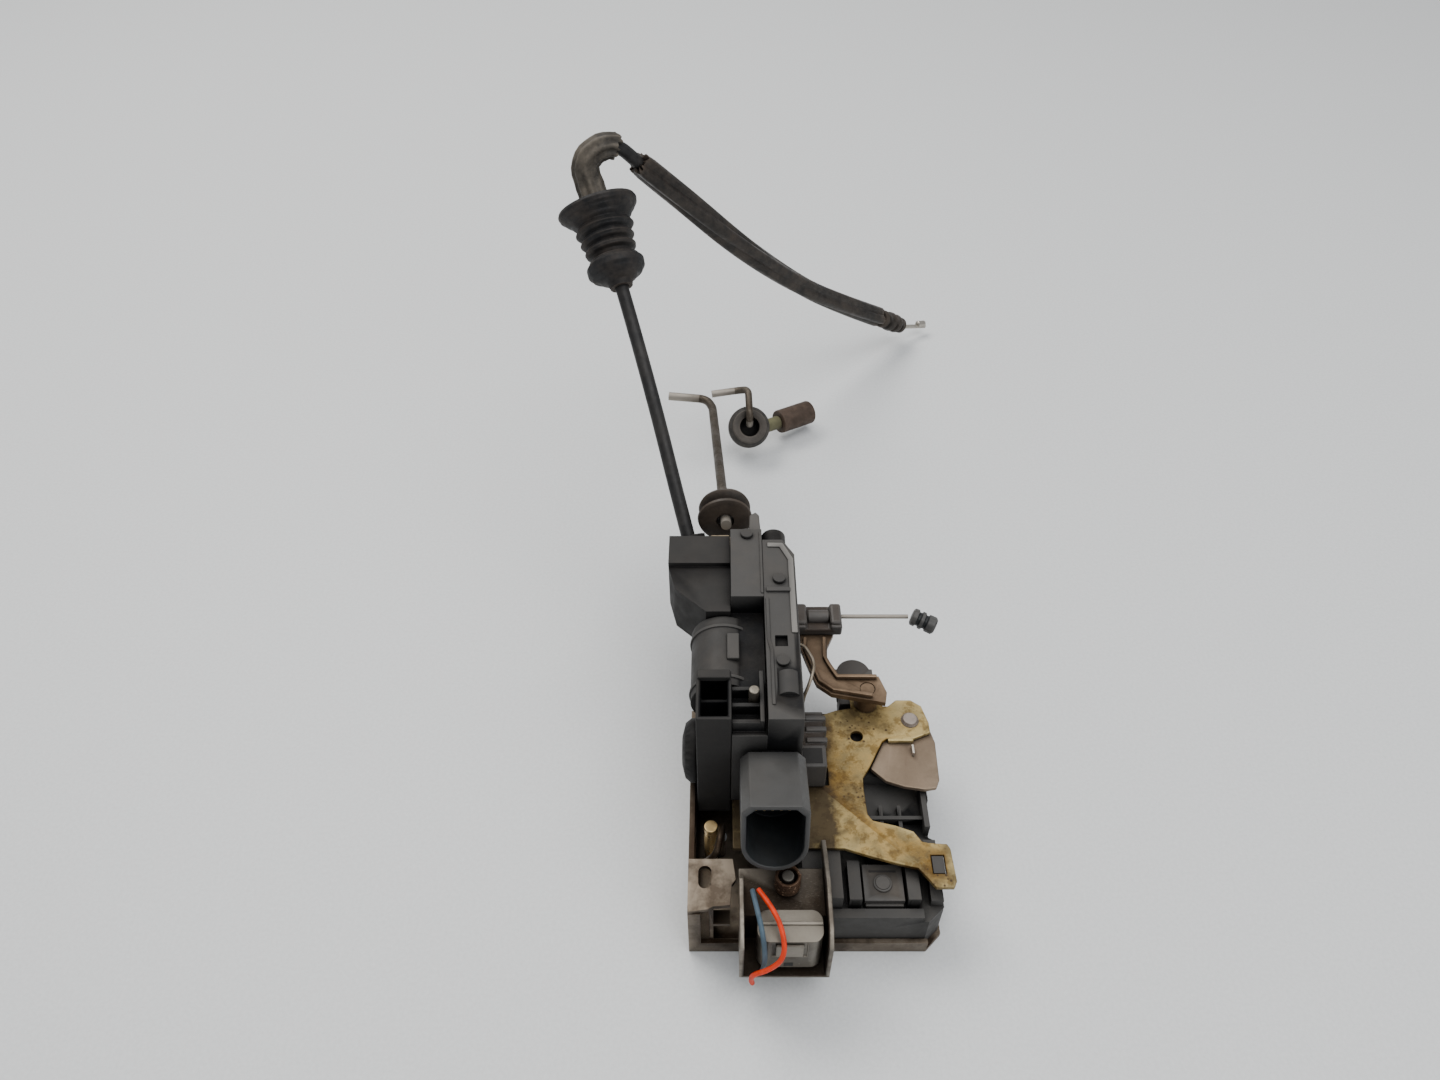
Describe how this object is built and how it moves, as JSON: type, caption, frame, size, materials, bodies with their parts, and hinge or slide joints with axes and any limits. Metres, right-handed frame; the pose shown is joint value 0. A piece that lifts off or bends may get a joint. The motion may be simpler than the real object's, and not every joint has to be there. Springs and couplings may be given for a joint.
{
  "type": "rotary door latch unit",
  "caption": "Rotary latch unit for a side door: folded steel case, locking module with connector, cable to the inner handle, lock rod and front motor bracket.",
  "frame": {"origin": "centre of the three door fixings, on the outer side of the face plate", "axes": "+Z out of the face plate into the latch, +Y along the locking module, +X towards the striker mouth"},
  "size_m": [0.197, 0.4142, 0.1824],
  "materials": {
    "steel": "oily passivated",
    "chromate": "yellow chromate, worn",
    "steel_dark": "dull",
    "plastic": "worn",
    "plastic_gloss": "smooth",
    "rubber": "dusty",
    "brass": "bare",
    "felt": "pale foam",
    "red": "insulation",
    "blue": "insulation",
    "zinc": "zinc, dull"
  },
  "bodies": {
    "case": {"face_plate": "steel", "motor_bracket": "steel", "outer_lever_pin": "steel", "inner_lever_pin": "steel", "steel_hook": "steel", "pivot_post": "steel", "post_coil_spring": "steel", "back_plate": "chromate", "claw_pin": "steel_dark", "pawl_pin": "steel_dark", "deadlock_motor": "steel_dark", "lock_motor": "steel_dark", "gear_pin": "steel_dark", "lever_return_spring": "steel_dark", "cable_inner_wire": "steel_dark", "sector_rivet": "zinc", "shell_pin": "zinc", "module_screws": "zinc", "latch_housing": "plastic", "striker_buffer": "plastic", "housing_tongue": "plastic", "module_cover_shell": "plastic", "module_main_shell": "plastic", "motor_cover_box": "plastic", "cable_socket": "plastic", "module_peg": "plastic", "lever_coupling": "plastic", "rod_clip": "plastic", "clip_arm": "plastic", "motor_end_cap": "plastic", "connector_shell": "plastic_gloss", "cable_end_fitting": "plastic_gloss", "bowden_sheath": "plastic_gloss", "cable_bellows": "rubber", "bend_sleeve": "rubber", "long_sleeve": "rubber", "brass_stud": "brass", "connector_terminals": "brass", "felt_pad": "felt", "red_wire": "red", "blue_wire": "blue"},
    "claw": {"claw": "steel_dark", "claw_overmould": "plastic", "claw_spring": "steel_dark"},
    "pawl": {"pawl": "steel_dark", "pawl_spring": "steel_dark"},
    "sector": {"release_sector": "steel_dark"},
    "outer_lever": {"outer_handle_lever": "steel", "lever_clip": "plastic", "pull_wire": "steel_dark", "pull_wire_ferrule": "plastic_gloss"},
    "inner_lever": {"inner_handle_lever": "steel"},
    "key_coupler": {"key_cylinder_coupler": "plastic"},
    "gear": {"lock_gear": "plastic"},
    "rod": {"lock_rod": "zinc", "knob_arm": "zinc", "knob_ring": "rubber", "knob_neck": "plastic_gloss", "knob_sleeve": "plastic"}
  },
  "joints": [
    {"name": "claw_turn", "type": "hinge", "parent": "case", "child": "claw", "pos_m": [0.017, -0.016, 0.008], "axis": [0, 0, 1], "range_deg": [0, 45], "stiffness_Nm_per_rad": 0.02, "springref_deg": -20.05, "deforming": ["claw_spring"]},
    {"name": "pawl_turn", "type": "hinge", "parent": "case", "child": "pawl", "pos_m": [0.006, 0.028, 0.008], "axis": [0, 0, 1], "range_deg": [-12, 0], "stiffness_Nm_per_rad": 0.02, "springref_deg": 17.19, "deforming": ["pawl_spring"]},
    {"name": "sector_turn", "type": "hinge", "parent": "case", "child": "sector", "pos_m": [0.037, 0.034, 0.029], "axis": [0, 0, 1], "range_deg": [-12, 0], "stiffness_Nm_per_rad": 0.01, "springref_deg": 17.19},
    {"name": "outer_lever_turn", "type": "hinge", "parent": "case", "child": "outer_lever", "pos_m": [0.02, 0.042, 0.041], "axis": [0, 0, 1], "range_deg": [-14, 0], "stiffness_Nm_per_rad": 0.03, "springref_deg": 17.19},
    {"name": "inner_lever_turn", "type": "hinge", "parent": "case", "child": "inner_lever", "pos_m": [-0.043, 0.034, 0.019], "axis": [0, 0, 1], "range_deg": [0, 8], "stiffness_Nm_per_rad": 0.01, "springref_deg": -17.19},
    {"name": "key_turn", "type": "hinge", "parent": "case", "child": "key_coupler", "pos_m": [-0.047, 0.012, 0.044], "axis": [-1, 0, 0], "range_deg": [-60, 60]},
    {"name": "lock_gear_turn", "type": "hinge", "parent": "case", "child": "gear", "pos_m": [-0.024, 0.04, 0.052], "axis": [1, 0, 0], "range_deg": [-45, 45]},
    {"name": "rod_slide", "type": "slide", "parent": "case", "child": "rod", "axis": [-0.047, 0.9484, -0.3135], "range_m": [-0.004, 0.006]}
  ]
}
